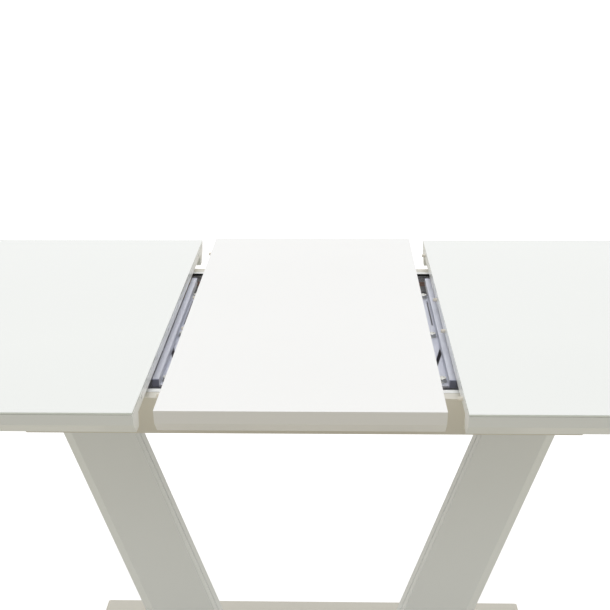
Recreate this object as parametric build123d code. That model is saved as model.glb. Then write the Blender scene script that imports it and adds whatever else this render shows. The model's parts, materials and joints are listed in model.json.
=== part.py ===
from build123d import *
import math
import os

# Extendable dining table: two sliding half tops, a loose leaf between them, a fixed frame, V legs and a base.
# Millimetres. X runs along the table, Y is its depth with the front at -Y, and Z is up from the floor.
# Heights are named from the half tops' upper surface where a piece hangs from it, through below().

# Table tops
HALF_TOP_Z = 757.0
TABLE_DEPTH = 900.0
HALF_LENGTH = 800.0
LEAF_LENGTH = 400.0
LEAF_PROUD = 3.0
HALF_EDGE_X = 228.5          # inner edge of each half top at the open stop
GLASS_THICK = 4.0
PANEL_BOTTOM = 19.0          # depth of the panel's underside below its own surface
RIM_BOTTOM = 41.0            # depth of the rims' flat underside
RIM_WIDTH = 48.0
FACET_DEPTH = 22.0           # the steep upper facet of the edge ends here
FACET_INSET = 7.0
BEVEL_INSET = 21.0           # further inset over the undercut bevel

# Dowels between the halves and the leaf
DOWEL_RADIUS = 3.0
DOWEL_PROUD = 7.0
DOWEL_EMBED = 18.0
DOWEL_HOLE_RADIUS = 3.3
DOWEL_HOLE_DEPTH = 10.0
DOWEL_DEPTH = 10.5           # below the surface of the piece that holds the dowel
DOWEL_YS = (-370.0, -83.0, 83.0, 370.0)

# Fixed frame
APRON_LENGTH = 820.0
APRON_OUTER_Y = 331.5
APRON_THICK = 22.5
APRON_TOP = 27.0
APRON_BOTTOM = 84.0
BOARD_THICK = 10.0
BOARD_HOUSING = 8.0          # the boards' ends are let into the aprons by this much
BOARD_INNER_X = 200.0
BOARD_OUTER_X = 390.0
CENTRE_BOARD_WIDTH = 200.0
BATTEN_WIDTH = 20.0
BATTEN_END_GAP = 10.0

# Three-section ball-bearing slides, one on each side of each half
SLIDE_HEIGHT = 45.0
SLIDE_THICK = 12.7
SLIDE_SHEET = 1.2
SLIDE_LIP = 2.8
OUTER_SPAN = (15.0, 385.0)
MID_SPAN = (134.0, 484.0)
INNER_SPAN = (248.5, 598.5)
MID_HEIGHT = 34.0
INNER_HEIGHT = 25.0
RUNNER_SPAN = (236.0, 620.0)
RUNNER_THICK = 22.0
RUNNER_BOTTOM = 72.0

# Cross bars and the zinc plates under them; outlines are (x, y) on the right plate
BAR_INNER_X = 220.5
BAR_WIDTH = 10.5
BAR_TOP = 28.0
BAR_BOTTOM = 40.0
BAR_SPAN_Y = (-258.0, 272.0)
BAR_WALL = 1.5
CAP_THICK = 3.0
PLATE_INNER_X = 130.0
PLATE_THICK = 3.0
PLATE_SPAN_Y = (-250.0, 197.0)
WINDOW = ((220.5, -84.0), (226.5, -84.0), (201.5, -212.0), (195.5, -212.0))
SLOT = ((216.0, 30.0), (218.6, 30.0), (218.6, 165.0), (216.0, 165.0))
POST_RADIUS = 6.0
POST_X = 211.5
POST_YS = (-232.0, -29.0, 185.0)
WASHER_RADIUS = 8.0
WASHER_THICK = 1.6
HEX_ACROSS_FLATS = 13.0
HEX_HEIGHT = 5.3

# Synchroniser: a pinion between two racks, so that the halves open and close together
GEAR_MODULE = 2.5
PINION_TEETH = 32
PRESSURE_ANGLE = math.radians(20)
BACKLASH = 0.3               # taken off each tooth at the pitch line
GEAR_TOP = 50.0
GEAR_THICK = 8.0
PIN_RADIUS = 5.0
PIN_CLEARANCE = 0.05
RACK_TAIL_X = -15.0
RACK_TOOTHED_TO = 246.0
RACK_FOOT_SPAN = (470.0, 500.0)
RACK_BACK = 9.0              # solid height behind the teeth
RACK_FLANGE_WIDTH = 40.0
RACK_FLANGE_THICK = 3.0
GUIDE_X = 120.0
GUIDE_CLEARANCE = 0.3

# Legs: boards 50 deep that lean outwards, each of two shells round a welded steel core
LEG_SLOPE = 0.361            # outward run for each unit of height
LEG_OUTER_X = 516.0          # outer face, carried up to the height of the half tops
LEG_WIDTH_X = 132.0
LEG_DEPTH = 50.0
LEG_CHAMFER_X = 18.0
LEG_CHAMFER_Y = 10.0
SEAM_WIDTH = 3.0
SEAM_DEPTH = 4.0
CORE_WIDTH_X = 70.0
CORE_DEPTH = 20.0
CORE_WALL = 2.5
BEAM_HALF_LENGTH = 490.0
BEAM_WIDTH = 100.0
BEAM_HEIGHT = 40.0
BEAM_WALL = 3.0
STEEL_PLATE = 5.0
HEAD_PLATE_SPAN = (300.0, 488.0)
HEAD_BOLT_XS = (316.0, 475.0)
HEAD_BOLT_Y = 34.0
FOOT_PLATE_MARGIN = 6.0
FOOT_BOLT_X = 40.0
FOOT_BOLT_Y = 12.0

# Base
BASE_LENGTH = 860.0
BASE_DEPTH = 500.0
BASE_THICK = 22.0
BASE_CHAMFER = 5.0
GLIDE_HEIGHT = 3.0
GLIDE_RADIUS = 16.0
GLIDE_INSET = 45.0
BOLT_RADIUS = 4.0
BOLT_HEAD_RADIUS = 7.0
BOLT_HEAD_HEIGHT = 5.0

PITCH_RADIUS = GEAR_MODULE * PINION_TEETH / 2
BASE_TOP_Z = GLIDE_HEIGHT + BASE_THICK


def below(depth):
    """Height of a level that lies this far below the half tops' upper surface."""
    return HALF_TOP_Z - depth


APRON_INNER_Y = APRON_OUTER_Y - APRON_THICK
BEAM_TOP_Z = below(APRON_BOTTOM)
BEAM_BOTTOM_Z = BEAM_TOP_Z - BEAM_HEIGHT
LEG_TOP_Z = BEAM_BOTTOM_Z - STEEL_PLATE
LEAF_TOP_Z = HALF_TOP_Z + LEAF_PROUD


def block(x_span, y_span, z_span):
    """Rectangular solid between the given limits on each axis."""
    spans = (x_span, y_span, z_span)
    sizes = [abs(high - low) for low, high in spans]
    centres = [(low + high) / 2 for low, high in spans]
    return Pos(*centres) * Box(*sizes)


def prism(points, run):
    """Solid swept from a closed outline of 3-D points along the vector run."""
    outline = make_face(Polyline(*points, close=True))
    direction = Vector(*run)
    return extrude(outline, amount=direction.length, dir=direction.normalized())


def rod(radius, start, run):
    """Round bar from the point start along the vector run."""
    direction = Vector(*run)
    section = Plane(origin=start, z_dir=direction) * Circle(radius)
    return extrude(section, amount=direction.length)


def flip_x(shape):
    """The same piece for the other end of the table."""
    return mirror(shape, about=Plane.YZ)


def flip_y(shape):
    """The same piece for the other side of the table."""
    return mirror(shape, about=Plane.XZ)


def save(name, shape):
    """Write one sub-part."""
    export_step(shape, os.path.join("parts", name + ".step"))


# ---- Table tops ----

def edge_inset(depth):
    """How far the edge profile has stepped in at a depth below the surface."""
    if depth <= FACET_DEPTH:
        return FACET_INSET * depth / FACET_DEPTH
    return FACET_INSET + BEVEL_INSET * (depth - FACET_DEPTH) / (RIM_BOTTOM - FACET_DEPTH)


def profile_depths(top, bottom):
    """Depths at which the edge profile has a corner between two levels."""
    return [top, FACET_DEPTH, bottom] if top < FACET_DEPTH < bottom else [top, bottom]


def leaf_slab(top, bottom):
    """Layer of the leaf between two depths, profiled along front and back."""
    depths = profile_depths(top, bottom)
    back = [(-LEAF_LENGTH / 2, TABLE_DEPTH / 2 - edge_inset(d), LEAF_TOP_Z - d) for d in depths]
    front = [(x, -y, z) for x, y, z in reversed(back)]
    return prism(back + front, (LEAF_LENGTH, 0, 0))


def half_slab(top, bottom):
    """Layer of the right half top between two depths, profiled on its three outer edges."""
    depths = profile_depths(top, bottom)
    back = [(HALF_EDGE_X, TABLE_DEPTH / 2 - edge_inset(d), below(d)) for d in depths]
    front = [(x, -y, z) for x, y, z in reversed(back)]
    along = prism(back + front, (HALF_LENGTH, 0, 0))
    outer_x = HALF_EDGE_X + HALF_LENGTH
    end = [(outer_x - edge_inset(d), -TABLE_DEPTH / 2, below(d)) for d in depths]
    inner = [(HALF_EDGE_X, -TABLE_DEPTH / 2, below(d)) for d in (bottom, top)]
    across = prism(end + inner, (0, TABLE_DEPTH, 0))
    return along & across


def edge_bores(radius, depth, edge_x, inward, surface_z):
    """The row of dowel bores in one edge; inward is +1 or -1 along X."""
    level = surface_z - DOWEL_DEPTH
    return [rod(radius, (edge_x, y, level), (inward * depth, 0, 0)) for y in DOWEL_YS]


def dowel_row(edge_x, inward, surface_z):
    """Wooden dowels glued into one edge, as a group of separate solids."""
    tip = edge_x - inward * DOWEL_PROUD
    length = inward * (DOWEL_PROUD + DOWEL_EMBED)
    level = surface_z - DOWEL_DEPTH
    return Compound(children=[rod(DOWEL_RADIUS, (tip, y, level), (length, 0, 0)) for y in DOWEL_YS])


def half_panel(radius, depth):
    """Board under the glass of the right half, bored for dowels in its inner edge."""
    panel = half_slab(GLASS_THICK, PANEL_BOTTOM)
    for bore in edge_bores(radius, depth, HALF_EDGE_X, 1, HALF_TOP_Z):
        panel -= bore
    return panel


def half_rims():
    """Front, back and outer rims under the right half's panel."""
    layer = half_slab(PANEL_BOTTOM, RIM_BOTTOM)
    rim_y = TABLE_DEPTH / 2 - RIM_WIDTH
    outer_x = HALF_EDGE_X + HALF_LENGTH
    rim_x = outer_x - RIM_WIDTH
    levels = (below(RIM_BOTTOM), below(PANEL_BOTTOM))
    front = layer & block((HALF_EDGE_X, outer_x), (-TABLE_DEPTH / 2, -rim_y), levels)
    end = layer & block((rim_x, outer_x), (-rim_y, rim_y), levels)
    return {"front": front, "back": flip_y(front), "end": end}


def build_tops():
    glass = half_slab(0, GLASS_THICK)
    rims = half_rims()
    save("right_top_glass", glass)
    save("left_top_glass", flip_x(glass))
    save("right_top_panel", half_panel(DOWEL_RADIUS, DOWEL_EMBED))
    save("left_top_panel", flip_x(half_panel(DOWEL_HOLE_RADIUS, DOWEL_HOLE_DEPTH)))
    save("right_top_dowels", dowel_row(HALF_EDGE_X, 1, HALF_TOP_Z))
    for place, rim in rims.items():
        save(f"right_top_{place}_rim", rim)
        save(f"left_top_{place}_rim", flip_x(rim))


def build_leaf():
    edge = LEAF_LENGTH / 2
    panel = leaf_slab(0, PANEL_BOTTOM)
    for bore in edge_bores(DOWEL_RADIUS, DOWEL_EMBED, -edge, 1, LEAF_TOP_Z):
        panel -= bore
    for bore in edge_bores(DOWEL_HOLE_RADIUS, DOWEL_HOLE_DEPTH, edge, -1, LEAF_TOP_Z):
        panel -= bore
    save("leaf_panel", panel)
    save("leaf_dowels", dowel_row(-edge, 1, LEAF_TOP_Z))
    rim_y = TABLE_DEPTH / 2 - RIM_WIDTH
    underside = LEAF_TOP_Z - PANEL_BOTTOM
    front_rim = leaf_slab(PANEL_BOTTOM, RIM_BOTTOM)
    front_rim &= block((-edge, edge), (-TABLE_DEPTH / 2, -rim_y), (LEAF_TOP_Z - RIM_BOTTOM, underside))
    batten_x = edge - BATTEN_END_GAP
    batten_outer = APRON_OUTER_Y - (APRON_THICK - BATTEN_WIDTH) / 2
    batten_levels = (below(APRON_TOP), underside)
    batten = block((-batten_x, batten_x), (-batten_outer, BATTEN_WIDTH - batten_outer), batten_levels)
    for side, turn in (("front", lambda piece: piece), ("back", flip_y)):
        save(f"leaf_{side}_rim", turn(front_rim))
        save(f"leaf_{side}_batten", turn(batten))


# ---- Slides and runners ----

def channel(x_span, height, web_span, flange_span, lip):
    """Sheet-steel channel of a front right slide: spans are distances in from the apron's inner face."""
    level = below(APRON_TOP + SLIDE_HEIGHT / 2)
    wall = -APRON_INNER_Y

    def plate(inset_span, z_span):
        return block(x_span, [wall + inset for inset in inset_span], [level + z for z in z_span])

    shape = plate(web_span, (-height / 2, height / 2))
    for side in (-1, 1):
        rim = side * height / 2
        shape += plate(flange_span, sorted((rim, rim - side * SLIDE_SHEET)))
        if lip:
            lip_span = (flange_span[1] - SLIDE_SHEET, flange_span[1])
            shape += plate(lip_span, sorted((rim, rim - side * (SLIDE_SHEET + lip))))
    return shape


def slide_members():
    """Outer, middle and inner members of the front right slide."""
    outer = channel(OUTER_SPAN, SLIDE_HEIGHT, (0, SLIDE_SHEET), (0, SLIDE_THICK - 0.7), SLIDE_LIP)
    middle = channel(MID_SPAN, MID_HEIGHT, (4.4, 4.4 + SLIDE_SHEET), (1.8, 11.4), 0)
    inner = channel(INNER_SPAN, INNER_HEIGHT, (SLIDE_THICK - SLIDE_SHEET, SLIDE_THICK), (6.2, SLIDE_THICK), 0)
    return {"outer": outer, "middle": middle, "inner": inner}


def build_slides():
    runner_outer = -(APRON_INNER_Y - SLIDE_THICK)
    runner_levels = (below(RUNNER_BOTTOM), below(PANEL_BOTTOM))
    pieces = {f"slide_{name}": shape for name, shape in slide_members().items()}
    pieces["runner"] = block(RUNNER_SPAN, (runner_outer, runner_outer + RUNNER_THICK), runner_levels)
    for name, piece in pieces.items():
        save(f"right_front_{name}", piece)
        save(f"right_back_{name}", flip_y(piece))
        save(f"left_front_{name}", flip_x(piece))
        save(f"left_back_{name}", flip_x(flip_y(piece)))


# ---- Fixed frame ----

def build_frame():
    half_length = APRON_LENGTH / 2
    board_levels = (below(APRON_BOTTOM), below(APRON_BOTTOM) + BOARD_THICK)
    board_end = APRON_INNER_Y + BOARD_HOUSING
    board = block((BOARD_INNER_X, BOARD_OUTER_X), (-board_end, board_end), board_levels)
    apron_levels = (below(APRON_BOTTOM), below(APRON_TOP))
    apron = block((-half_length, half_length), (-APRON_OUTER_Y, -APRON_INNER_Y), apron_levels)
    apron = apron - board - flip_x(board)
    centre_y = CENTRE_BOARD_WIDTH / 2
    centre = block((-BOARD_INNER_X, BOARD_INNER_X), (-centre_y, centre_y), board_levels)
    pin_hole = rod(PIN_RADIUS, (0, 0, board_levels[0]), (0, 0, BOARD_THICK))
    save("apron_front", apron)
    save("apron_back", flip_y(apron))
    save("frame_board_right", board)
    save("frame_board_left", flip_x(board))
    save("frame_board_centre", centre - pin_hole)


def cross_bar():
    """Right cross bar, a thin square-cornered tube open at both ends."""
    x_span = (BAR_INNER_X, BAR_INNER_X + BAR_WIDTH)
    y_span = (BAR_SPAN_Y[0] + CAP_THICK, BAR_SPAN_Y[1] - CAP_THICK)
    levels = (below(BAR_BOTTOM), below(BAR_TOP))
    bore_x = (x_span[0] + BAR_WALL, x_span[1] - BAR_WALL)
    bore_z = (levels[0] + BAR_WALL, levels[1] - BAR_WALL)
    return block(x_span, y_span, levels) - block(bore_x, y_span, bore_z)


def bar_caps():
    """Plastic caps on the four ends of the cross bars."""
    x_span = (BAR_INNER_X, BAR_INNER_X + BAR_WIDTH)
    front, back = BAR_SPAN_Y
    caps = []
    for y_span in ((front, front + CAP_THICK), (back - CAP_THICK, back)):
        cap = block(x_span, y_span, (below(BAR_BOTTOM), below(BAR_TOP)))
        caps += [cap, flip_x(cap)]
    return Compound(children=caps)


def sync_plate():
    """Right zinc plate under the cross bar, with a slanted window and a long slot."""
    level = below(BAR_BOTTOM) - PLATE_THICK
    outer_x = BAR_INNER_X + BAR_WIDTH
    plate = block((PLATE_INNER_X, outer_x), PLATE_SPAN_Y, (level, level + PLATE_THICK))
    for outline in (WINDOW, SLOT):
        plate -= prism([(x, y, level) for x, y in outline], (0, 0, PLATE_THICK))
    return plate


def post_group():
    """Round posts that carry the zinc plates on the frame boards."""
    foot_z = below(APRON_BOTTOM) + BOARD_THICK
    height = below(BAR_BOTTOM) - PLATE_THICK - foot_z
    return Compound(children=[rod(POST_RADIUS, (x, y, foot_z), (0, 0, height)) for x, y in post_places()])


def post_places():
    """Positions of the posts and of the bolts on top of them."""
    return [(x, y) for x in (-POST_X, POST_X) for y in POST_YS]


def plate_bolts():
    """Hexagon heads with washers that hold the zinc plates down on the posts."""
    face = below(BAR_BOTTOM)
    under_head = face + WASHER_THICK
    corner_radius = HEX_ACROSS_FLATS / 2 / math.cos(math.pi / 6)
    turns = [math.pi * side / 3 for side in range(6)]
    outline = [(corner_radius * math.cos(turn), corner_radius * math.sin(turn)) for turn in turns]
    bolts = []
    for x, y in post_places():
        washer = rod(WASHER_RADIUS, (x, y, face), (0, 0, WASHER_THICK))
        head = prism([(x + across, y + along, under_head) for across, along in outline], (0, 0, HEX_HEIGHT))
        bolts.append(washer + head)
    return Compound(children=bolts)


def build_cross_bars():
    bar = cross_bar()
    plate = sync_plate()
    save("cross_bar_right", bar)
    save("cross_bar_left", flip_x(bar))
    save("cross_bar_caps", bar_caps())
    save("sync_plate_right", plate)
    save("sync_plate_left", flip_x(plate))
    save("plate_posts", post_group())
    save("plate_bolts", plate_bolts())


# ---- Synchroniser ----

def pinion_outline():
    """Involute outline of the pinion, with a tooth centred on +X."""
    base = PITCH_RADIUS * math.cos(PRESSURE_ANGLE)
    tip = PITCH_RADIUS + GEAR_MODULE
    root = PITCH_RADIUS - 1.25 * GEAR_MODULE
    half_tooth = (math.pi * GEAR_MODULE / 2 - BACKLASH) / (2 * PITCH_RADIUS)
    involute_at_pitch = math.tan(PRESSURE_ANGLE) - PRESSURE_ANGLE

    def half_angle(radius):
        angle = math.acos(base / radius)
        return half_tooth + involute_at_pitch - (math.tan(angle) - angle)

    steps = 4
    radii = [base + (tip - base) * step / steps for step in range(steps + 1)]
    flank = [(root, half_angle(base))] + [(radius, half_angle(radius)) for radius in radii]
    points = []
    for tooth in range(PINION_TEETH):
        middle = 2 * math.pi * tooth / PINION_TEETH
        polar = [(r, middle - a) for r, a in flank] + [(r, middle + a) for r, a in reversed(flank)]
        points += [(r * math.cos(a), r * math.sin(a)) for r, a in polar]
    return points


def pinion():
    """Toothed wheel that turns on the frame's pin."""
    level = below(GEAR_TOP + GEAR_THICK)
    wheel = prism([(x, y, level) for x, y in pinion_outline()], (0, 0, GEAR_THICK))
    return wheel - rod(PIN_RADIUS + PIN_CLEARANCE, (0, 0, level), (0, 0, GEAR_THICK))


def rack():
    """Right rack: teeth towards the pinion, a plain tail, and a foot that screws under the half top."""
    pitch = math.pi * GEAR_MODULE
    tip_y = PITCH_RADIUS - GEAR_MODULE
    root_y = PITCH_RADIUS + 1.25 * GEAR_MODULE
    back_y = root_y + RACK_BACK
    at_pitch = (pitch / 2 - BACKLASH) / 2
    half_tip = at_pitch - (PITCH_RADIUS - tip_y) * math.tan(PRESSURE_ANGLE)
    half_root = at_pitch + (root_y - PITCH_RADIUS) * math.tan(PRESSURE_ANGLE)
    points = [(RACK_TAIL_X, back_y), (RACK_TAIL_X, root_y)]
    first = math.ceil((RACK_TAIL_X + half_root) / pitch - 0.5)
    last = math.floor(RACK_TOOTHED_TO / pitch - 0.5)
    for tooth in range(first, last + 1):
        middle = pitch * (tooth + 0.5)
        points += [(middle - half_root, root_y), (middle - half_tip, tip_y)]
        points += [(middle + half_tip, tip_y), (middle + half_root, root_y)]
    points += [(RACK_FOOT_SPAN[1], root_y), (RACK_FOOT_SPAN[1], back_y)]
    level = below(GEAR_TOP + GEAR_THICK)
    shape = prism([(x, y, level) for x, y in points], (0, 0, GEAR_THICK))
    shape += block(RACK_FOOT_SPAN, (root_y, back_y), (below(GEAR_TOP), below(PANEL_BOTTOM)))
    flange_top = below(PANEL_BOTTOM)
    flange_y = (back_y, back_y + RACK_FLANGE_WIDTH)
    return shape + block(RACK_FOOT_SPAN, flange_y, (flange_top - RACK_FLANGE_THICK, flange_top))


def rack_guides():
    """Plastic blocks on the frame boards that keep both racks in mesh, two behind each rack."""
    back_y = PITCH_RADIUS + 1.25 * GEAR_MODULE + RACK_BACK + GUIDE_CLEARANCE
    foot_z = below(APRON_BOTTOM) + BOARD_THICK
    top_z = below(GEAR_TOP)
    ledge_top = below(GEAR_TOP + GEAR_THICK) - GUIDE_CLEARANCE
    ledge_y = PITCH_RADIUS + 2 * GEAR_MODULE
    wall_y = back_y + 8
    guides = []
    for x in (-GUIDE_X, GUIDE_X):
        guide = block((x - 15, x + 15), (back_y, wall_y), (foot_z, top_z))
        guide += block((x - 15, x + 15), (ledge_y, back_y), (foot_z, ledge_top))
        guides += [guide, flip_y(guide)]
    return Compound(children=guides)


def pinion_pin():
    """Headed pin in the centre board, with a collar under the pinion."""
    foot_z = below(APRON_BOTTOM)
    collar_foot = foot_z + BOARD_THICK
    wheel_foot = below(GEAR_TOP + GEAR_THICK)
    head_foot = below(GEAR_TOP) + PIN_CLEARANCE
    pin = rod(PIN_RADIUS, (0, 0, foot_z), (0, 0, head_foot - foot_z))
    pin += rod(2 * PIN_RADIUS, (0, 0, collar_foot), (0, 0, wheel_foot - PIN_CLEARANCE - collar_foot))
    return pin + rod(1.6 * PIN_RADIUS, (0, 0, head_foot), (0, 0, 2.5))


def build_synchroniser():
    right_rack = rack()
    # A half turn about the pinion's axis makes the left rack from the right one.
    save("sync_rack_right", right_rack)
    save("sync_rack_left", Rot(0, 0, 180) * right_rack)
    save("sync_pinion", Rot(0, 0, 90) * pinion())
    save("sync_pinion_pin", pinion_pin())
    save("sync_rack_guides", rack_guides())


# ---- Legs, beam and base ----

def leg_x(z):
    """X of the right leg's outer face at a height."""
    return LEG_OUTER_X + LEG_SLOPE * (z - HALF_TOP_Z)


def leg_prism(section, z_span):
    """Leaning solid: the section holds (distance in from the outer face, y) at its foot."""
    low, high = z_span
    points = [(leg_x(low) - inset, y, low) for inset, y in section]
    return prism(points, (LEG_SLOPE * (high - low), 0, high - low))


def leg_shells():
    """Front and back shells of the right leg, hollowed for the core, with a shadow gap between them."""
    levels = (BASE_TOP_Z, LEG_TOP_Z)
    half = LEG_DEPTH / 2
    front_outline = [
        (0, -SEAM_WIDTH), (0, LEG_CHAMFER_Y - half), (LEG_CHAMFER_X, -half), (LEG_WIDTH_X, -half),
        (LEG_WIDTH_X, -SEAM_WIDTH), (LEG_WIDTH_X - SEAM_DEPTH, -SEAM_WIDTH), (LEG_WIDTH_X - SEAM_DEPTH, 0),
        (SEAM_DEPTH, 0), (SEAM_DEPTH, -SEAM_WIDTH),
    ]
    back_outline = [
        (0, 0), (LEG_WIDTH_X, 0), (LEG_WIDTH_X, half), (LEG_CHAMFER_X, half), (0, half - LEG_CHAMFER_Y),
    ]
    core_in = (LEG_WIDTH_X - CORE_WIDTH_X) / 2
    core_out = core_in + CORE_WIDTH_X
    side = CORE_DEPTH / 2
    hollow = leg_prism([(core_in, -side), (core_out, -side), (core_out, side), (core_in, side)], levels)
    outlines = {"front": front_outline, "back": back_outline}
    return {side: leg_prism(outline, levels) - hollow for side, outline in outlines.items()}


def leg_core():
    """Welded steel core of the right leg: a leaning tube between a head plate and a foot plate."""
    levels = (BASE_TOP_Z, LEG_TOP_Z)
    core_in = (LEG_WIDTH_X - CORE_WIDTH_X) / 2
    core_out = core_in + CORE_WIDTH_X
    side = CORE_DEPTH / 2
    outline = [(core_in, -side), (core_out, -side), (core_out, side), (core_in, side)]
    bore_side = side - CORE_WALL
    bore_in = core_in + CORE_WALL
    bore_out = core_out - CORE_WALL
    bore = [(bore_in, -bore_side), (bore_out, -bore_side), (bore_out, bore_side), (bore_in, bore_side)]
    tube = leg_prism(outline, levels) - leg_prism(bore, levels)
    head = block(HEAD_PLATE_SPAN, (-BEAM_WIDTH / 2, BEAM_WIDTH / 2), (LEG_TOP_Z, BEAM_BOTTOM_Z))
    for x, y in bolt_places(HEAD_BOLT_XS, HEAD_BOLT_Y):
        head -= rod(BOLT_RADIUS, (x, y, LEG_TOP_Z), (0, 0, STEEL_PLATE))
    foot = foot_plate()
    for x, y in bolt_places(foot_bolt_xs(), FOOT_BOLT_Y):
        foot -= rod(BOLT_RADIUS, (x, y, BASE_TOP_Z - STEEL_PLATE), (0, 0, STEEL_PLATE))
    return tube + head + foot


def bolt_places(xs, y):
    """Four bolt positions at two distances along X, on both sides of the centre line."""
    return [(x, side * y) for x in xs for side in (-1, 1)]


def foot_bolt_xs():
    """X of the bolts that hold the right foot plate."""
    centre = leg_x(BASE_TOP_Z) - LEG_WIDTH_X / 2
    return (centre - FOOT_BOLT_X, centre + FOOT_BOLT_X)


def foot_plate():
    """Right foot plate, sunk flush into the base."""
    outer = leg_x(BASE_TOP_Z) - FOOT_PLATE_MARGIN
    inner = leg_x(BASE_TOP_Z) - LEG_WIDTH_X + FOOT_PLATE_MARGIN
    half = LEG_DEPTH / 2 - FOOT_PLATE_MARGIN
    return block((inner, outer), (-half, half), (BASE_TOP_Z - STEEL_PLATE, BASE_TOP_Z))


def bolt(x, y, under_head_z, length):
    """Bolt with its head below, pointing up."""
    head = rod(BOLT_HEAD_RADIUS, (x, y, under_head_z - BOLT_HEAD_HEIGHT), (0, 0, BOLT_HEAD_HEIGHT))
    return head + rod(BOLT_RADIUS, (x, y, under_head_z), (0, 0, length))


def base_bolts():
    """Bolts up through the base into the right foot plate, their heads sunk in the underside."""
    under_head = GLIDE_HEIGHT + BOLT_HEAD_HEIGHT
    length = BASE_TOP_Z - under_head
    return [bolt(x, y, under_head, length) for x, y in bolt_places(foot_bolt_xs(), FOOT_BOLT_Y)]


def head_bolts():
    """Bolts up through the right head plate into the beam."""
    length = STEEL_PLATE + BEAM_WALL
    return [bolt(x, y, LEG_TOP_Z, length) for x, y in bolt_places(HEAD_BOLT_XS, HEAD_BOLT_Y)]


def leg_beam():
    """Steel tube under the frame that spans both leg heads."""
    x_span = (-BEAM_HALF_LENGTH, BEAM_HALF_LENGTH)
    half = BEAM_WIDTH / 2
    bore_y = (BEAM_WALL - half, half - BEAM_WALL)
    bore_z = (BEAM_BOTTOM_Z + BEAM_WALL, BEAM_TOP_Z - BEAM_WALL)
    beam = block(x_span, (-half, half), (BEAM_BOTTOM_Z, BEAM_TOP_Z)) - block(x_span, bore_y, bore_z)
    for x, y in bolt_places(HEAD_BOLT_XS, HEAD_BOLT_Y):
        for end in (-1, 1):
            beam -= rod(BOLT_RADIUS, (end * x, y, BEAM_BOTTOM_Z), (0, 0, BEAM_WALL))
    return beam


def base_plate():
    """Rectangular base with a chamfered upper edge and sunk foot plates."""
    x_span = (-BASE_LENGTH / 2, BASE_LENGTH / 2)
    plate = block(x_span, (-BASE_DEPTH / 2, BASE_DEPTH / 2), (GLIDE_HEIGHT, BASE_TOP_Z))
    plate = chamfer(plate.faces().sort_by(Axis.Z)[-1].edges(), BASE_CHAMFER)
    for cut in [foot_plate()] + base_bolts():
        plate = plate - cut - flip_x(cut)
    return plate


def floor_glides():
    """Plastic discs under the base, at its corners and half-way along."""
    x_far = BASE_LENGTH / 2 - GLIDE_INSET
    y_far = BASE_DEPTH / 2 - GLIDE_INSET
    places = [(x, y) for x in (-x_far, 0, x_far) for y in (-y_far, y_far)]
    return Compound(children=[rod(GLIDE_RADIUS, (x, y, 0), (0, 0, GLIDE_HEIGHT)) for x, y in places])


def build_legs():
    for side, shell in leg_shells().items():
        save(f"leg_right_{side}_shell", shell)
        save(f"leg_left_{side}_shell", flip_x(shell))
    core = leg_core()
    save("leg_right_core", core)
    save("leg_left_core", flip_x(core))
    bolts = base_bolts() + head_bolts()
    save("leg_bolts", Compound(children=bolts + [flip_x(piece) for piece in bolts]))
    save("leg_beam", leg_beam())
    save("base_plate", base_plate())
    save("floor_glides", floor_glides())


os.makedirs("parts", exist_ok=True)
build_tops()
build_leaf()
build_slides()
build_frame()
build_cross_bars()
build_synchroniser()
build_legs()
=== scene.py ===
"""Looks of the extendable dining table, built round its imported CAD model. Lengths are in metres."""
import json
import math

import bmesh
import bpy
from mathutils import Matrix, Vector


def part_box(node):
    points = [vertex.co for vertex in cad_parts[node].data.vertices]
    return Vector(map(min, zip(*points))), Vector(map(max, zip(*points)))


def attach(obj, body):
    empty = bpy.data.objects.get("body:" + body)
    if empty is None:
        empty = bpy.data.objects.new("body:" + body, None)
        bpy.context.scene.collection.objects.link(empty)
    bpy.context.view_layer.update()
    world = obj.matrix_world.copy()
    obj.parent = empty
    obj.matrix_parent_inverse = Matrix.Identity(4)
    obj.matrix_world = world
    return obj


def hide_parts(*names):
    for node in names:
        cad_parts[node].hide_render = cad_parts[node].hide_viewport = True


SIDES = ("right", "left")
DEPTHS = ("front", "back")
MM = 0.001

# Camera: the photograph's viewing angle
CAMERA_PLACE = (0.0469, -1.9279, 1.4003)
CAMERA_DOWN = math.radians(18.27)
CAMERA_LEFT = math.radians(1.52)
CAMERA_ROLL = math.radians(-0.33)
CAMERA_LENS_MM = 69.95
SENSOR_MM = 36.0
CAMERA_REACH = 200.0

# Small parts that the frame leaves plain
FLUTES = 12
FLUTE_DEPTH = 0.35 * MM
DOWEL_CHAMFER = 0.8 * MM
WASHER_THICK = 1.6 * MM
BOLT_ARRIS = 0.3 * MM
HEX_ACROSS_FLATS = 13.0 * MM
HEX_CHAMFER_SLOPE = math.tan(math.radians(30))
DISH_DEPTH = 0.5 * MM
DISH_RIM_SHARE = 0.62
DISH_FLOOR_SHARE = 0.55
LEG_SOCKET = 6.0 * MM
SOCKET_DEPTH = 3.0 * MM
LEG_HEAD_HEIGHT = 5.0 * MM
LEG_HEAD_ARRIS = 0.5 * MM
LEG_SHANK_RADIUS = 4.0 * MM

# Ball cages: insets from the middle member's apron side, heights from its level
CAGE_SPAN = (50 * MM, 320 * MM)
CAGE_BACK = 3.9 * MM
CAGE_FRONT = 9.6 * MM
CAGE_SHEET = 0.35 * MM
CAGE_EDGE = 14.4 * MM
CAGE_RIM = 13.9 * MM
CAGE_BALLS = 15
STRIP_FRONT = 5.6 * MM
STRIP_EDGE = 4.2 * MM
STRIP_BEVEL = 0.5 * MM
BALL_RADIUS = 1.6 * MM
BALL_INSET = 7.2 * MM
BALL_HEIGHT = 14.15 * MM


def rgb(red, green, blue):
    return (red, green, blue, 1.0)


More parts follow.
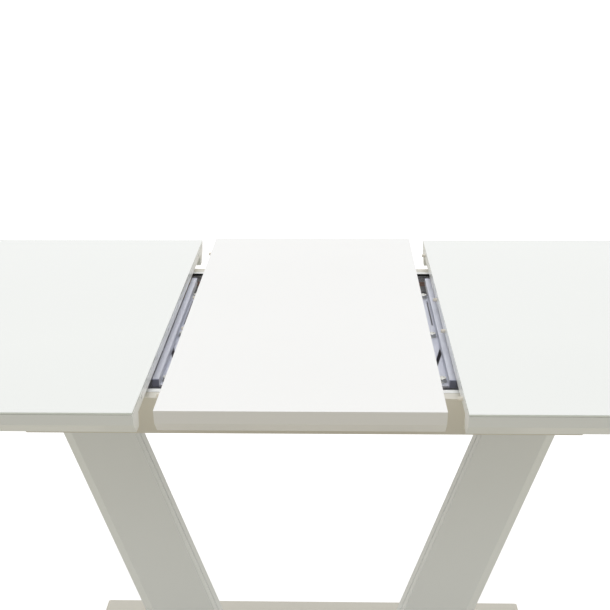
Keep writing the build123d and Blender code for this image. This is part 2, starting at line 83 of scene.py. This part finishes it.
# Light by direction, as a light tent gives it
WALL_FRONT = rgb(0.12, 0.12, 0.115)
WALL_BACK = rgb(1.0, 1.0, 1.0)
OVERHEAD = rgb(1.22, 1.22, 1.22)
OVERHEAD_FROM = (0.3, 0.8)
FLOOR_LIGHT = rgb(0.66, 0.63, 0.55)
HORIZON = 0.05

# Floor and dome, which only the camera sees
FLOOR_REACH = 60.0
FLOOR_GLOW = 0.78
FLOOR_TONE = rgb(0.42, 0.42, 0.42)
DOME_RADIUS = 80.0

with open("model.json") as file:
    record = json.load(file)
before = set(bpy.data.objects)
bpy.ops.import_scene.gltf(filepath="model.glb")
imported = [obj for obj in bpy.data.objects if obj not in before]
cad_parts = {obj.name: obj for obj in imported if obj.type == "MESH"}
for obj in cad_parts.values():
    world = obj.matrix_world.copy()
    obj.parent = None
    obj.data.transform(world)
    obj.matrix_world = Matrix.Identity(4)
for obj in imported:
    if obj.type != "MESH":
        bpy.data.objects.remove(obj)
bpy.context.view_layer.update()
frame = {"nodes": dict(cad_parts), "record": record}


# ---- Materials ----

def mixed(tree, share, first, second):
    """A colour between two: mix node inputs 0, 6 and 7 take the share and colours, output 2 the result."""
    node = tree.nodes.new("ShaderNodeMix")
    node.data_type = "RGBA"
    for socket, value in ((node.inputs[0], share), (node.inputs[6], first), (node.inputs[7], second)):
        if isinstance(value, bpy.types.NodeSocket):
            tree.links.new(value, socket)
        else:
            socket.default_value = value
    return node.outputs[2]


class Surface:
    """A Principled material whose patterns are laid out in metres on the object itself."""

    def __init__(self, name, **sockets):
        self.material = bpy.data.materials.new(name)
        self.material.use_nodes = True
        self.nodes = self.material.node_tree.nodes
        self.links = self.material.node_tree.links
        self.shader = self.nodes["Principled BSDF"]
        for socket, value in sockets.items():
            self.shader.inputs[socket.replace("_", " ")].default_value = value
        self.place = self.add("ShaderNodeTexCoord").outputs["Object"]

    def add(self, kind, inputs=None, **settings):
        """A node with its settings, its input values and its links to other nodes' outputs."""
        node = self.nodes.new(kind)
        for setting, value in settings.items():
            setattr(node, setting, value)
        for socket, value in (inputs or {}).items():
            if isinstance(value, bpy.types.NodeSocket):
                self.links.new(value, node.inputs[socket])
            else:
                node.inputs[socket].default_value = value
        return node

    def stretched(self, scale):
        """The object's own coordinates, scaled by a different amount on each axis."""
        return self.add("ShaderNodeMapping", {"Vector": self.place, "Scale": scale}).outputs["Vector"]

    def noise(self, scale, detail=2.0, vector=None, distortion=0.0):
        inputs = {"Vector": vector or self.place, "Scale": scale, "Detail": detail, "Distortion": distortion}
        return self.add("ShaderNodeTexNoise", inputs).outputs["Fac"]

    def spread(self, value, low, high, source=(0.3, 0.7)):
        """A pattern's value carried over to another range."""
        inputs = {
            "Value": value,
            "From Min": source[0],
            "From Max": source[1],
            "To Min": low,
            "To Max": high,
        }
        return self.add("ShaderNodeMapRange", inputs).outputs["Result"]

    def mix(self, share, first, second):
        """A colour between two, by a pattern's value."""
        return mixed(self.material.node_tree, share, first, second)

    def bump(self, height, depth, under=None):
        """A normal from a height pattern, with its real depth; under is a normal that it lies on."""
        inputs = {"Height": height, "Distance": depth, "Strength": 1.0}
        if under:
            inputs["Normal"] = under
        return self.add("ShaderNodeBump", inputs).outputs["Normal"]

    def facing(self, axis):
        """How squarely a surface faces along an axis, from 0 to 1."""
        normal = self.add("ShaderNodeNewGeometry").outputs["Normal"]
        turned = self.add("ShaderNodeSeparateXYZ", {"Vector": normal}).outputs[axis]
        return self.add("ShaderNodeMath", {0: turned}, operation="ABSOLUTE").outputs[0]

    def feed(self, socket, output):
        self.links.new(output, self.shader.inputs[socket])
        return self


def shade(colour, factor):
    return rgb(*(part * factor for part in colour[:3]))


def lacquer(name, colour, roughness, ends=None):
    """Clear-coated lacquer on board, faintly clouded; ends is a painted highlight, a lighter colour on its
    faces along X.
    """
    surface = Surface(name, IOR=1.48, Coat_Weight=0.35, Coat_Roughness=0.06)
    clouds = surface.spread(surface.noise(2.6, 3.0), 0, 1)
    tone = surface.mix(clouds, shade(colour, 0.985), colour)
    # Faces along X get a painted highlight: the lighter ends colour stands in for light on the halves' inner
    # edges.
    if ends:
        tone = surface.mix(surface.spread(surface.facing("X"), 0.0, 1.0, (0.55, 0.85)), tone, ends)
    surface.feed("Base Color", tone)
    sheen = surface.spread(surface.noise(6.0, 2.0), roughness - 0.03, roughness + 0.03)
    return surface.feed("Roughness", sheen).material


def lacquered_glass():
    """Back-lacquered glass: a clean white face and a faintly greener ground edge."""
    surface = Surface("lacquered_glass", IOR=1.52, Coat_Weight=1.0, Coat_Roughness=0.025, Coat_IOR=1.52)
    clouds = surface.spread(surface.noise(1.7, 2.0), 0, 1)
    face = surface.mix(clouds, rgb(0.760, 0.780, 0.752), rgb(0.770, 0.790, 0.762))
    edge_share = surface.spread(surface.facing("Z"), 1.0, 0.0, (0.55, 0.85))
    grind = surface.spread(surface.noise(60.0, 3.0), 0, 1)
    edge = surface.mix(grind, rgb(0.76, 0.81, 0.765), rgb(0.80, 0.85, 0.805))
    surface.feed("Base Color", surface.mix(edge_share, face, edge))
    sheen = surface.spread(surface.noise(4.0, 1.0), 0.185, 0.205)
    return surface.feed("Roughness", sheen).material


def plated_steel(name, colour, roughness, metal=1.0):
    """Zinc-plated sheet: bluish, with rolling streaks along Y and soft passivation clouds."""
    surface = Surface(name, Metallic=metal)
    streaks = surface.noise(1.0, 5.0, surface.stretched((900.0, 22.0, 900.0)))
    clouds = surface.noise(38.0, 4.0, distortion=0.6)
    tone = surface.mix(surface.spread(clouds, 0, 1), shade(colour, 0.93), colour)
    surface.feed("Base Color", surface.mix(surface.spread(streaks, 0, 0.35), tone, shade(colour, 0.78)))
    surface.feed("Roughness", surface.spread(streaks, roughness - 0.07, roughness + 0.1))
    return surface.feed("Normal", surface.bump(streaks, 0.00002)).material


def slide_channel():
    """Outer slide member: bright zinc on its level faces and painted shade, near black, on the upright ones.
    """
    surface = Surface("slide_channel", IOR=1.5)
    level = surface.spread(surface.facing("Z"), 0.0, 1.0, (0.5, 0.8))
    streaks = surface.noise(1.0, 5.0, surface.stretched((22.0, 900.0, 900.0)))
    bright = surface.mix(surface.spread(streaks, 0, 1), rgb(0.88, 0.89, 0.88), rgb(0.93, 0.94, 0.93))
    # Upright faces get painted shade: a near-black colour in place of the shadow and dark reflection inside
    # the channel.
    spots = surface.spread(surface.noise(55.0, 4.0), 0, 1)
    upright_painted_shade = surface.mix(spots, rgb(0.010, 0.012, 0.012), rgb(0.03, 0.033, 0.03))
    surface.feed("Base Color", surface.mix(level, upright_painted_shade, bright))
    surface.feed("Metallic", surface.spread(level, 0.0, 0.2, (0.0, 1.0)))
    surface.feed("Roughness", surface.spread(streaks, 0.32, 0.46))
    return surface.feed("Normal", surface.bump(streaks, 0.00002)).material


def coated_steel(name, colour, roughness):
    """Powder-coated or phosphated steel with a fine pebbled skin."""
    surface = Surface(name, IOR=1.5)
    clouds = surface.spread(surface.noise(70.0, 4.0), 0, 1)
    surface.feed("Base Color", surface.mix(clouds, colour, shade(colour, 1.5)))
    surface.feed("Roughness", surface.spread(surface.noise(160.0, 3.0), roughness - 0.08, roughness + 0.1))
    return surface.feed("Normal", surface.bump(surface.noise(1400.0, 2.0), 0.00005)).material


def plastic(name, colour, roughness):
    """Moulded plastic with a fine spark-eroded texture."""
    surface = Surface(name, IOR=1.46)
    clouds = surface.spread(surface.noise(45.0, 3.0), 0, 1)
    surface.feed("Base Color", surface.mix(clouds, colour, shade(colour, 1.12)))
    surface.feed("Roughness", surface.spread(surface.noise(220.0, 2.0), roughness - 0.05, roughness + 0.07))
    return surface.feed("Normal", surface.bump(surface.noise(2200.0, 2.0), 0.00003)).material


def timber(name, pale, dark, roughness):
    """Bare wood with its grain along X."""
    surface = Surface(name, IOR=1.45)
    grain = surface.noise(1.0, 6.0, surface.stretched((6.0, 210.0, 210.0)), 0.8)
    fleck = surface.noise(1.0, 3.0, surface.stretched((60.0, 1300.0, 1300.0)))
    tone = surface.mix(surface.spread(grain, 0, 1), dark, pale)
    flecks = surface.spread(fleck, 0.4, 0, (0.3, 0.5))
    surface.feed("Base Color", surface.mix(flecks, tone, shade(dark, 0.8)))
    surface.feed("Roughness", surface.spread(grain, roughness, roughness - 0.12))
    return surface.feed("Normal", surface.bump(grain, 0.00015)).material


def plywood(name, pale, dark):
    """Birch plywood: faint grain on its faces and light and dark plies on its edges."""
    surface = Surface(name, IOR=1.45, Roughness=0.62)
    grain = surface.noise(1.0, 6.0, surface.stretched((7.0, 120.0, 120.0)), 0.9)
    face = surface.mix(surface.spread(grain, 0, 1), shade(pale, 0.84), pale)
    layers = {"Vector": surface.place, "Scale": 110.0, "Distortion": 0.15}
    wave = surface.add("ShaderNodeTexWave", layers, bands_direction="Z")
    plies = surface.mix(surface.spread(wave.outputs["Fac"], 0, 1, (0.35, 0.65)), dark, pale)
    edge_share = surface.spread(surface.facing("Z"), 1.0, 0.0, (0.4, 0.7))
    surface.feed("Base Color", surface.mix(edge_share, face, plies))
    return surface.feed("Normal", surface.bump(grain, 0.0001)).material


MATERIALS = {
    "glass_white": lacquered_glass(),
    # The halves' faces along X carry a painted highlight in a lighter colour.
    "lacquer_half": lacquer("half_lacquer", rgb(0.785, 0.81, 0.80), 0.34, ends=rgb(0.95, 0.965, 0.97)),
    "lacquer_leaf": lacquer("leaf_lacquer", rgb(0.83, 0.83, 0.815), 0.34),
    "lacquer_frame": lacquer("frame_lacquer", rgb(0.73, 0.70, 0.615), 0.34),
    "lacquer_leg": lacquer("leg_lacquer", rgb(0.92, 0.95, 0.945), 0.34),
    "bare_board": plywood("birch_plywood", rgb(0.62, 0.50, 0.36), rgb(0.30, 0.19, 0.11)),
    "dark_board": plywood("film_faced_plywood", rgb(0.44, 0.44, 0.50), rgb(0.20, 0.18, 0.18)),
    "dowel_wood": timber("beech_dowel", rgb(0.88, 0.85, 0.78), rgb(0.80, 0.74, 0.63), 0.6),
    "zinc": plated_steel("zinc_plate", rgb(0.83, 0.85, 0.95), 0.40, metal=0.15),
    "bolt_zinc": plated_steel("bolt_zinc", rgb(0.72, 0.72, 0.68), 0.28),
    "slide_bright": plated_steel("slide_zinc", rgb(0.74, 0.75, 0.77), 0.30, metal=0.7),
    "cage_chromate": plated_steel("cage_chromate", rgb(0.52, 0.36, 0.31), 0.40, metal=0.3),
    "slide_steel": slide_channel(),
    "black_steel": coated_steel("black_powder_coat", rgb(0.028, 0.028, 0.030), 0.52),
    "dark_plastic": plastic("slate_plastic", rgb(0.32, 0.34, 0.46), 0.42),
    "white_plastic": plastic("ivory_plastic", rgb(0.70, 0.69, 0.64), 0.40),
}


# ---- Pieces ----

def cad_mesh(node):
    """A CAD node's mesh with its corners welded and its flat faces joined."""
    mesh = frame["nodes"][node].data.copy()
    clean(mesh)
    return mesh


def clean(mesh):
    """Weld corners, join the triangles of each flat face and drop the normals that came with the file."""
    if mesh.has_custom_normals:
        mesh.attributes.remove(mesh.attributes["custom_normal"])
    bm = bmesh.new()
    bm.from_mesh(mesh)
    bmesh.ops.remove_doubles(bm, verts=bm.verts, dist=2e-6)
    bmesh.ops.dissolve_limit(bm, angle_limit=math.radians(0.3), verts=bm.verts, edges=bm.edges)
    bm.normal_update()
    bm.to_mesh(mesh)
    bm.free()


def new_object(name, mesh):
    piece = bpy.data.objects.new(name, mesh)
    bpy.context.scene.collection.objects.link(piece)
    return piece


def combined(piece, others, operation):
    """Join or cut a piece with other objects, which are used up."""
    for other in others:
        modifier = piece.modifiers.new("shape", "BOOLEAN")
        modifier.object = other
        modifier.operation = operation
        modifier.solver = "EXACT"
    evaluated = piece.evaluated_get(bpy.context.evaluated_depsgraph_get())
    mesh = bpy.data.meshes.new_from_object(evaluated)
    piece.modifiers.clear()
    piece.data = mesh
    clean(mesh)
    for other in others:
        bpy.data.objects.remove(other)
    return piece


def dress(piece, slot, body, nodes, edge, crease=30.0, segments=2, look=None):
    """Give a piece its rounded arrises, material and place in the assembly."""
    piece.data.materials.clear()
    piece.data.materials.append(MATERIALS[look or slot])
    piece.data.shade_smooth()
    if not edge:
        piece.data.set_sharp_from_angle(angle=math.radians(crease))
    else:
        bevel = piece.modifiers.new("arris", "BEVEL")
        bevel.width = edge
        bevel.segments = segments
        bevel.limit_method = "ANGLE"
        bevel.angle_limit = math.radians(crease)
        bevel.harden_normals = True
    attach(piece, body)
    if nodes:
        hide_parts(*nodes)
    return piece


def from_nodes(name, nodes, edge, crease=30.0, segments=2, look=None):
    """One seamless piece made from CAD nodes of one body."""
    first, *rest = [new_object(name if i == 0 else "part", cad_mesh(node)) for i, node in enumerate(nodes)]
    piece = combined(first, rest, "UNION") if rest else first
    return dress(piece, SLOT_OF[nodes[0]], BODY_OF[nodes[0]], nodes, edge, crease, segments, look)


def solid_boxes(node):
    """Lowest and highest corner of each separate solid of a CAD node."""
    bm = bmesh.new()
    bm.from_mesh(frame["nodes"][node].data)
    bmesh.ops.remove_doubles(bm, verts=bm.verts, dist=2e-6)
    waiting = set(bm.verts)
    boxes = []
    while waiting:
        reached = {waiting.pop()}
        edge_of_search = list(reached)
        while edge_of_search:
            vertex = edge_of_search.pop()
            fresh = {edge.other_vert(vertex) for edge in vertex.link_edges} - reached
            reached |= fresh
            edge_of_search += fresh
        waiting -= reached
        places = [vertex.co for vertex in reached]
        low = Vector([min(place[axis] for place in places) for axis in range(3)])
        high = Vector([max(place[axis] for place in places) for axis in range(3)])
        boxes.append((low, high))
    bm.free()
    return sorted(boxes, key=lambda box: tuple(box[0]))


def lofted(bm, profile, matrix, count=48):
    """A closed round solid along +Z: each ring is a height and a radius, fixed or worked out by angle."""
    rings = []
    for height, radius in profile:
        ring = []
        for index in range(count):
            angle = 2 * math.pi * index / count
            reach = radius(angle) if callable(radius) else radius
            level = height(angle) if callable(height) else height
            spot = (reach * math.cos(angle), reach * math.sin(angle), level)
            ring.append(bm.verts.new(matrix @ Vector(spot)))
        rings.append(ring)
    for lower, upper in zip(rings, rings[1:]):
        for index in range(count):
            following = (index + 1) % count
            bm.faces.new((lower[index], lower[following], upper[following], upper[index]))
    bm.faces.new(reversed(rings[0]))
    bm.faces.new(rings[-1])


def finished(name, bm):
    """A new object from a finished bmesh."""
    mesh = bpy.data.meshes.new(name)
    bmesh.ops.recalc_face_normals(bm, faces=bm.faces)
    bm.to_mesh(mesh)
    bm.free()
    return new_object(name, mesh)


def hexagon(across_flats):
    """Radius of a hexagon by angle."""
    def radius(angle):
        return across_flats / 2 / math.cos((angle + math.pi / 6) % (math.pi / 3) - math.pi / 6)
    return radius


BODY_OF = {node: body for body, nodes in frame["record"]["behaviour"]["bodies"].items() for node in nodes}
SLOT_OF = {entry["node"]: entry["material_slot"] for entry in frame["record"]["subparts"]}


def build_tops():
    """Glass sheets, and under each a seamless lacquered body of panel and rims."""
    for side in SIDES:
        from_nodes(f"{side}_glass_sheet", [f"{side}_top_glass"], 1.3 * MM, segments=3)
        body = [f"{side}_top_{part}" for part in ("panel", "front_rim", "back_rim", "end_rim")]
        from_nodes(f"{side}_lacquered_body", body, 0.8 * MM, crease=20.0)
    leaf = ["leaf_panel", "leaf_front_rim", "leaf_back_rim"]
    from_nodes("leaf_lacquered_body", leaf, 1.6 * MM, crease=20.0, segments=3)


def build_plain_pieces():
    """Pieces whose CAD shape is right and needs only its arrises and material."""
    edges = {
        0.25: [
            "leaf_front_batten", "leaf_back_batten", "frame_board_centre", "plate_posts", "sync_pinion_pin",
        ],
        0.5: ["cross_bar_caps", "leg_beam", "sync_rack_guides", "leg_left_core", "leg_right_core"],
        0.8: ["floor_glides", "apron_front", "apron_back"],
        1.2: ["base_plate"],
    }
    for side in SIDES:
        edges[0.25] += [f"frame_board_{side}", f"sync_plate_{side}"]
        edges[0.5] += [f"cross_bar_{side}"]
        edges[0.5] += [f"{side}_{place}_runner" for place in DEPTHS]
        for place in DEPTHS:
            edges[0.25] += [f"{side}_{place}_slide_{part}" for part in ("outer", "middle", "inner")]
    for width, nodes in edges.items():
        for node in nodes:
            from_nodes(node + "_piece", [node], width * MM)
    for side in SIDES:
        for face in DEPTHS:
            node = f"leg_{side}_{face}_shell"
            from_nodes(node + "_piece", [node], 1.0 * MM, look="lacquer_leg")
    for node in ("sync_pinion", "sync_rack_left", "sync_rack_right"):
        from_nodes(node + "_piece", [node], 0.15 * MM, segments=1)


def build_dowels():
    """Fluted beech dowels with chamfered tips, one for each CAD dowel."""
    for node in ("right_top_dowels", "leaf_dowels"):
        bm = bmesh.new()
        for low, high in solid_boxes(node):
            middle = (low + high) / 2
            length = high.x - low.x
            full = (high.z - low.z) / 2

            def fluted(angle, full=full):
                return full - FLUTE_DEPTH * (0.5 - 0.5 * math.cos(FLUTES * angle)) ** 2

            tip = full - DOWEL_CHAMFER
            profile = [(0, tip), (DOWEL_CHAMFER, fluted), (length - DOWEL_CHAMFER, fluted), (length, tip)]
            matrix = Matrix.Translation((low.x, middle.y, middle.z)) @ Matrix.Rotation(math.pi / 2, 4, "Y")
            lofted(bm, profile, matrix, count=6 * FLUTES)
        dress(finished(node + "_fluted", bm), "dowel_wood", BODY_OF[node], [node], 0)


def build_plate_bolts():
    """Hexagon-headed bolts with round washers, which hold the zinc plates."""
    bm = bmesh.new()
    for low, high in solid_boxes("plate_bolts"):
        middle = (low + high) / 2
        washer_radius = (high.x - low.x) / 2
        matrix = Matrix.Translation((middle.x, middle.y, low.z))
        washer = [
            (0, washer_radius - BOLT_ARRIS),
            (BOLT_ARRIS, washer_radius),
            (WASHER_THICK - BOLT_ARRIS, washer_radius),
            (WASHER_THICK, washer_radius - BOLT_ARRIS),
        ]
        lofted(bm, washer, matrix)
        head_top = high.z - low.z
        flats = hexagon(HEX_ACROSS_FLATS)
        crown = HEX_ACROSS_FLATS / 2 - BOLT_ARRIS

        def chamfer(angle):
            return head_top - (flats(angle) - crown) * HEX_CHAMFER_SLOPE

        head = [
            (WASHER_THICK, flats),
            (chamfer, flats),
            (head_top, crown),
            (head_top, crown * DISH_RIM_SHARE),
            (head_top - DISH_DEPTH, crown * DISH_FLOOR_SHARE),
        ]
        lofted(bm, head, matrix)
    dress(finished("plate_hexagon_bolts", bm), "zinc", "frame", ["plate_bolts"], 0, look="bolt_zinc")


def build_leg_bolts():
    """Round-headed bolts with a hexagon socket in the underside of each head."""
    bm = bmesh.new()
    for low, high in solid_boxes("leg_bolts"):
        middle = (low + high) / 2
        head_radius = (high.x - low.x) / 2
        socket = hexagon(LEG_SOCKET)
        profile = [
            (SOCKET_DEPTH, socket),
            (0, socket),
            (0, head_radius - LEG_HEAD_ARRIS),
            (LEG_HEAD_ARRIS, head_radius),
            (LEG_HEAD_HEIGHT, head_radius),
            (LEG_HEAD_HEIGHT, LEG_SHANK_RADIUS),
            (high.z - low.z, LEG_SHANK_RADIUS),
        ]
        lofted(bm, profile, Matrix.Translation((middle.x, middle.y, low.z)))
    dress(finished("leg_socket_bolts", bm), "black_steel", "frame", ["leg_bolts"], 0)


def run_along_x(bm, outline, ends):
    """A closed bar along X with the given (y, z) outline."""
    rings = [[bm.verts.new((x, y, z)) for y, z in outline] for x in ends]
    for index in range(len(outline)):
        following = (index + 1) % len(outline)
        bm.faces.new((rings[0][index], rings[0][following], rings[1][following], rings[1][index]))
    bm.faces.new(rings[0])
    bm.faces.new(reversed(rings[1]))


def mirrored_down(outline):
    """An outline of (inset, height) points closed by its own mirror image below."""
    return outline + [(inset, -height) for inset, height in reversed(outline)]


def build_ball_cages():
    """In each slide's middle member: a ball cage, its balls and a brown guide strip along its web."""
    web = CAGE_BACK + CAGE_SHEET
    hook = [(CAGE_BACK, CAGE_EDGE), (CAGE_FRONT, CAGE_EDGE), (CAGE_FRONT, CAGE_RIM), (web, CAGE_RIM)]
    corners = [(web, STRIP_EDGE), (STRIP_FRONT, STRIP_EDGE - STRIP_BEVEL)]
    parts = (
        ("ball_cage", mirrored_down(hook), "slide_bright"),
        ("guide_strip", mirrored_down(corners), "cage_chromate"),
    )
    for side in SIDES:
        for place in DEPTHS:
            low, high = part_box(f"{side}_{place}_slide_middle")
            outward, inner_end = (1, low[0]) if side == "right" else (-1, high[0])
            into, wall = (1, low[1]) if place == "front" else (-1, high[1])
            level = (low[2] + high[2]) / 2
            body = f"{side}_slide_middle"
            ends = [inner_end + outward * reach for reach in CAGE_SPAN]
            for part, outline, look in parts:
                bm = bmesh.new()
                run_along_x(bm, [(wall + into * inset, level + height) for inset, height in outline], ends)
                dress(finished(f"{side}_{place}_{part}", bm), "slide_bright", body, [], 0, look=look)
            bm = bmesh.new()
            for step in range(CAGE_BALLS):
                x = ends[0] + (ends[1] - ends[0]) * (step + 0.5) / CAGE_BALLS
                for row in (-1, 1):
                    spot = Matrix.Translation((x, wall + into * BALL_INSET, level + row * BALL_HEIGHT))
                    bmesh.ops.create_icosphere(bm, subdivisions=2, radius=BALL_RADIUS, matrix=spot)
            dress(finished(f"{side}_{place}_balls", bm), "slide_bright", body, [], 0, crease=60.0)


# ---- Stage, light and camera ----

def emitter(name, colour, strength, spread_colour=None):
    material = bpy.data.materials.new(name)
    material.use_nodes = True
    shader = material.node_tree.nodes["Principled BSDF"]
    shader.inputs["Base Color"].default_value = spread_colour or rgb(0, 0, 0)
    shader.inputs["Roughness"].default_value = 1.0
    shader.inputs["Specular IOR Level"].default_value = 0.0
    shader.inputs["Emission Color"].default_value = colour
    shader.inputs["Emission Strength"].default_value = strength
    return material


def seen_by_camera_only(piece):
    piece.visible_diffuse = False
    piece.visible_glossy = False
    piece.visible_transmission = False
    piece.visible_shadow = False


def build_stage():
    """A pale floor that shows soft shadows, and a white dome round it."""
    floor_mesh = bpy.data.meshes.new("floor")
    corners = [(x * FLOOR_REACH, y * FLOOR_REACH, 0) for x, y in ((-1, -1), (1, -1), (1, 1), (-1, 1))]
    floor_mesh.from_pydata(corners, [], [(0, 1, 2, 3)])
    floor = new_object("floor", floor_mesh)
    floor_mesh.materials.append(emitter("pale_floor", rgb(1, 1, 1), FLOOR_GLOW, FLOOR_TONE))
    dome_mesh = bpy.data.meshes.new("dome")
    bm = bmesh.new()
    bmesh.ops.create_uvsphere(bm, u_segments=48, v_segments=24, radius=DOME_RADIUS)
    bm.to_mesh(dome_mesh)
    bm.free()
    dome = new_object("dome", dome_mesh)
    dome_mesh.materials.append(emitter("white_dome", rgb(1, 1, 1), 1.0))
    for piece in (floor, dome):
        seen_by_camera_only(piece)


def build_world():
    """Light tent: white behind and overhead, dim low in front, and warm light back from the floor."""
    world = bpy.data.worlds.new("studio")
    bpy.context.scene.world = world
    world.use_nodes = True
    nodes = world.node_tree.nodes
    links = world.node_tree.links
    direction = nodes.new("ShaderNodeTexCoord").outputs["Generated"]
    split = nodes.new("ShaderNodeSeparateXYZ")
    links.new(direction, split.inputs[0])

    def share(axis, low, high):
        """How far a direction's component has come from low to high."""
        node = nodes.new("ShaderNodeMapRange")
        links.new(split.outputs[axis], node.inputs["Value"])
        node.inputs["From Min"].default_value = low
        node.inputs["From Max"].default_value = high
        return node.outputs["Result"]

    walls = mixed(world.node_tree, share("Y", -1.0, 1.0), WALL_FRONT, WALL_BACK)
    upper = mixed(world.node_tree, share("Z", *OVERHEAD_FROM), walls, OVERHEAD)
    around = mixed(world.node_tree, share("Z", -HORIZON, HORIZON), FLOOR_LIGHT, upper)
    links.new(around, nodes["Background"].inputs["Color"])


def soft_box(name, place, target, size, watts, colour):
    light = bpy.data.lights.new(name, "AREA")
    light.shape = "RECTANGLE"
    light.size, light.size_y = size
    light.energy = watts
    light.color = colour
    lamp = new_object(name, light)
    lamp.location = place
    lamp.rotation_euler = (Vector(target) - Vector(place)).to_track_quat("-Z", "Y").to_euler()


def build_camera():
    data = bpy.data.cameras.new("camera")
    data.lens = CAMERA_LENS_MM
    data.sensor_width = SENSOR_MM
    data.clip_end = CAMERA_REACH
    camera = new_object("camera", data)
    turn = Matrix.Rotation(CAMERA_LEFT, 4, "Z") @ Matrix.Rotation(math.pi / 2 - CAMERA_DOWN, 4, "X")
    camera.matrix_world = Matrix.Translation(CAMERA_PLACE) @ turn @ Matrix.Rotation(CAMERA_ROLL, 4, "Z")
    bpy.context.scene.camera = camera


build_tops()
build_plain_pieces()
build_dowels()
build_plate_bolts()
build_leg_bolts()
build_ball_cages()
build_stage()
build_world()
soft_box("overhead", (-0.3, 0.9, 3.4), (0, 0, 0.75), (4.0, 3.0), 12.0, (1.0, 1.0, 1.0))
build_camera()
bpy.context.scene.view_settings.view_transform = "Standard"
